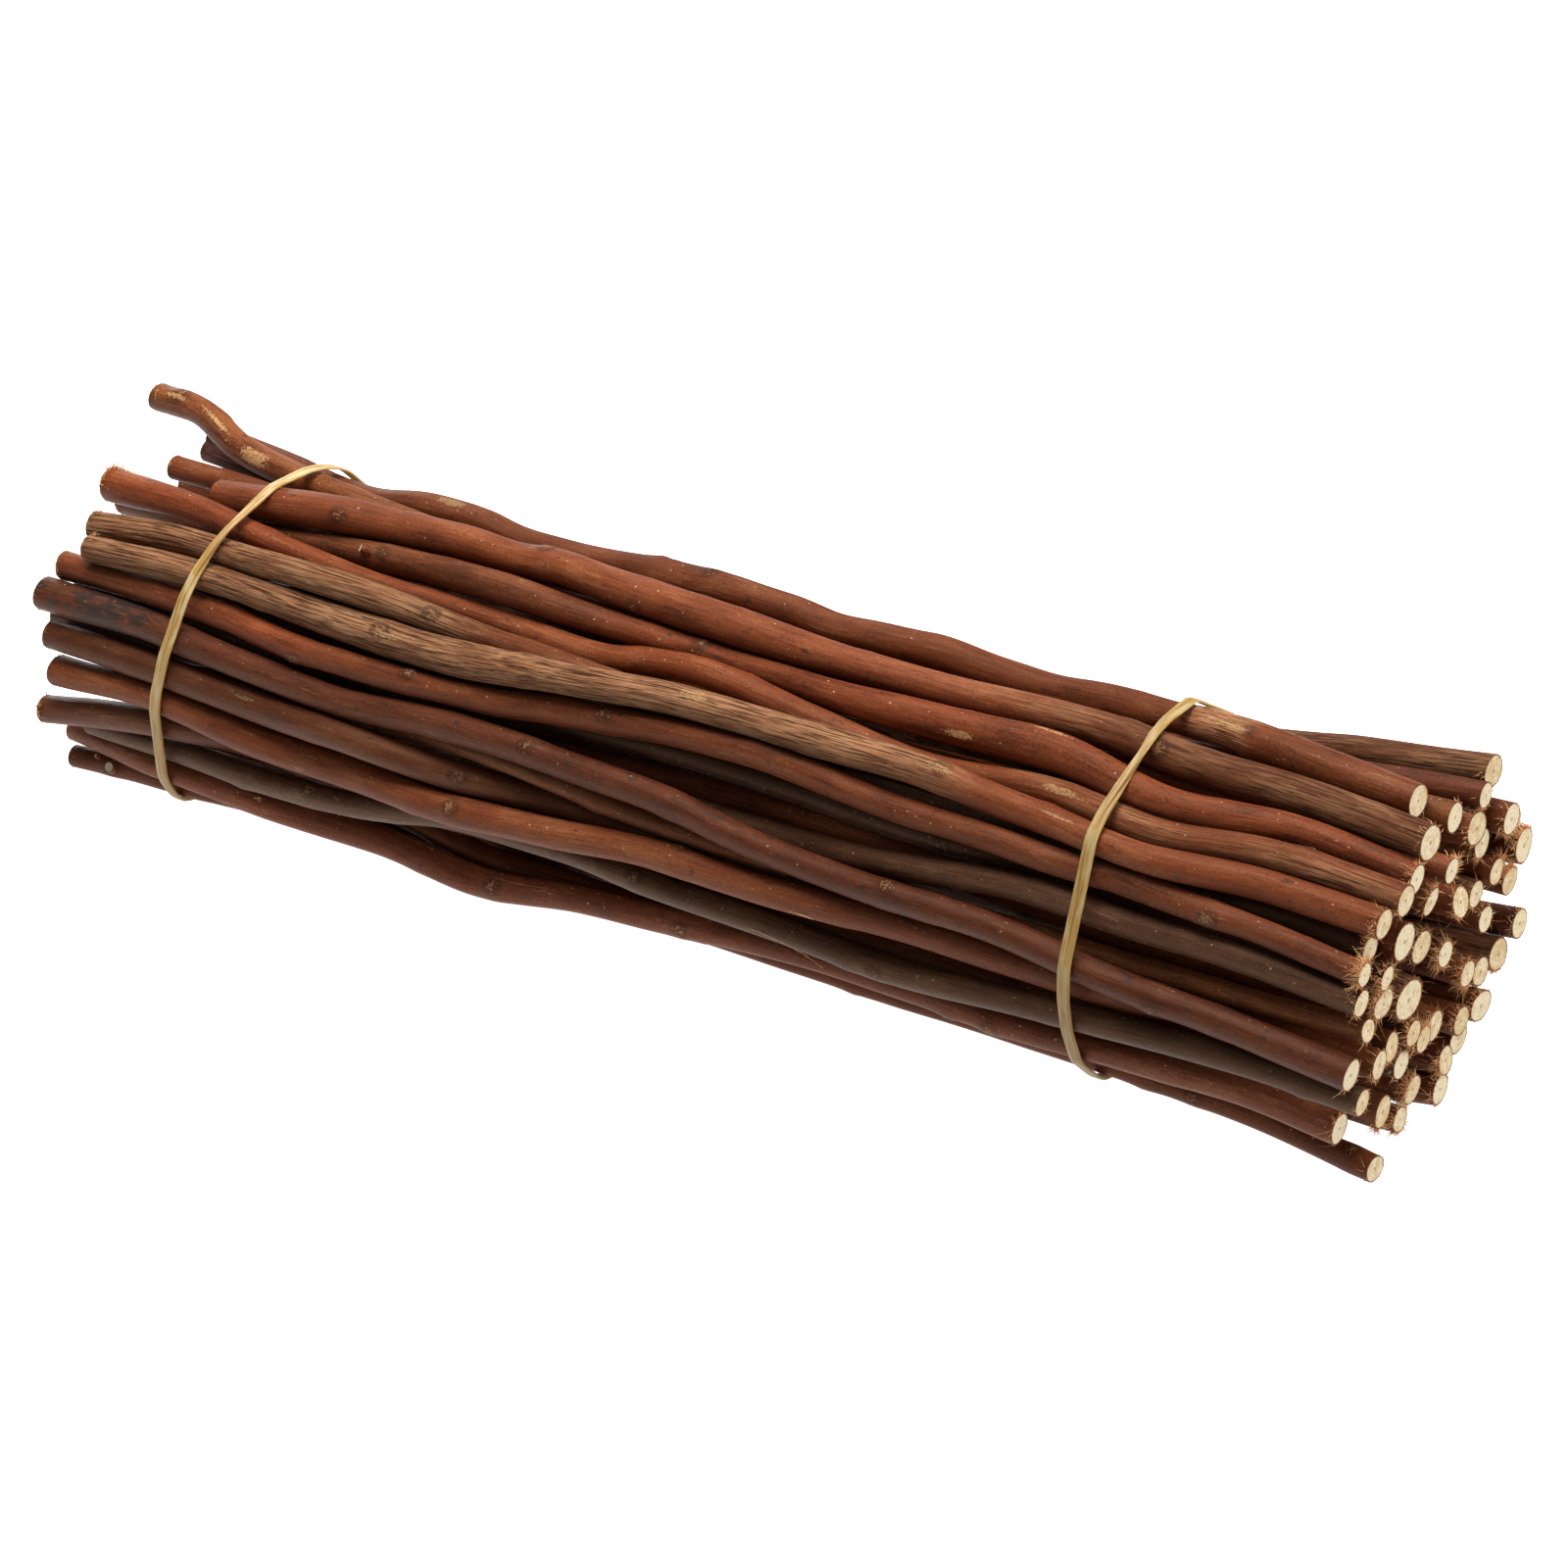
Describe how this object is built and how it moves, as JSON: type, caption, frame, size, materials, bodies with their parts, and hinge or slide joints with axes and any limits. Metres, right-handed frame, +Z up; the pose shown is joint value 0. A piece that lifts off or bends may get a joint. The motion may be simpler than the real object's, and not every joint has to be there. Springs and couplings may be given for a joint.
{
  "type": "bundle of twigs",
  "caption": "Bundle of straight-grown red-brown twigs sawn to one length, lying on its side and held by a rubber band near each end.",
  "frame": {"origin": "on the surface, under the middle of the bundle's box", "axes": "+X along the bundle towards the sawn ends that the picture shows, +Y to the bundle's far side, +Z up"},
  "size_m": [0.368, 0.0886, 0.0876],
  "materials": {
    "bark_red": "smooth red-brown bark with fine lines and pale pores, sawn cream ends",
    "bark_tan": "fissured tan and brown bark, sawn cream ends",
    "bark_purple": "dark purple-brown mottled bark, sawn cream ends",
    "bark_grey": "grey-brown bark with fine lines, sawn cream ends",
    "bark_amber": "orange-brown bark, scraped in places, sawn cream ends",
    "rubber": "thin amber natural rubber, slightly glossy"
  },
  "bodies": {
    "root": {"twig_01": "bark_tan", "twig_02": "bark_amber", "twig_03": "bark_red", "twig_04": "bark_purple", "twig_05": "bark_red", "twig_06": "bark_red", "twig_07": "bark_red", "twig_08": "bark_tan", "twig_09": "bark_tan", "twig_10": "bark_red", "twig_11": "bark_grey", "twig_12": "bark_grey", "twig_13": "bark_grey", "twig_14": "bark_amber", "twig_15": "bark_purple", "twig_16": "bark_red", "twig_17": "bark_red", "twig_18": "bark_purple", "twig_19": "bark_grey", "twig_20": "bark_purple", "twig_21": "bark_red", "twig_22": "bark_red", "twig_23": "bark_red", "twig_24": "bark_red", "twig_25": "bark_grey", "twig_26": "bark_red", "twig_27": "bark_purple", "twig_28": "bark_tan", "twig_29": "bark_red", "twig_30": "bark_amber", "twig_31": "bark_red", "twig_32": "bark_purple", "twig_33": "bark_red", "twig_34": "bark_red", "twig_35": "bark_amber", "twig_36": "bark_red", "twig_37": "bark_tan", "twig_38": "bark_red", "twig_39": "bark_purple", "twig_40": "bark_amber", "twig_41": "bark_red", "twig_42": "bark_grey", "twig_43": "bark_red", "twig_44": "bark_red", "twig_45": "bark_tan", "twig_46": "bark_red", "twig_47": "bark_amber", "twig_48": "bark_red", "twig_49": "bark_grey", "twig_50": "bark_red", "twig_51": "bark_tan", "twig_52": "bark_red", "rubber_band_left": "rubber", "rubber_band_right": "rubber"}
  },
  "joints": []
}
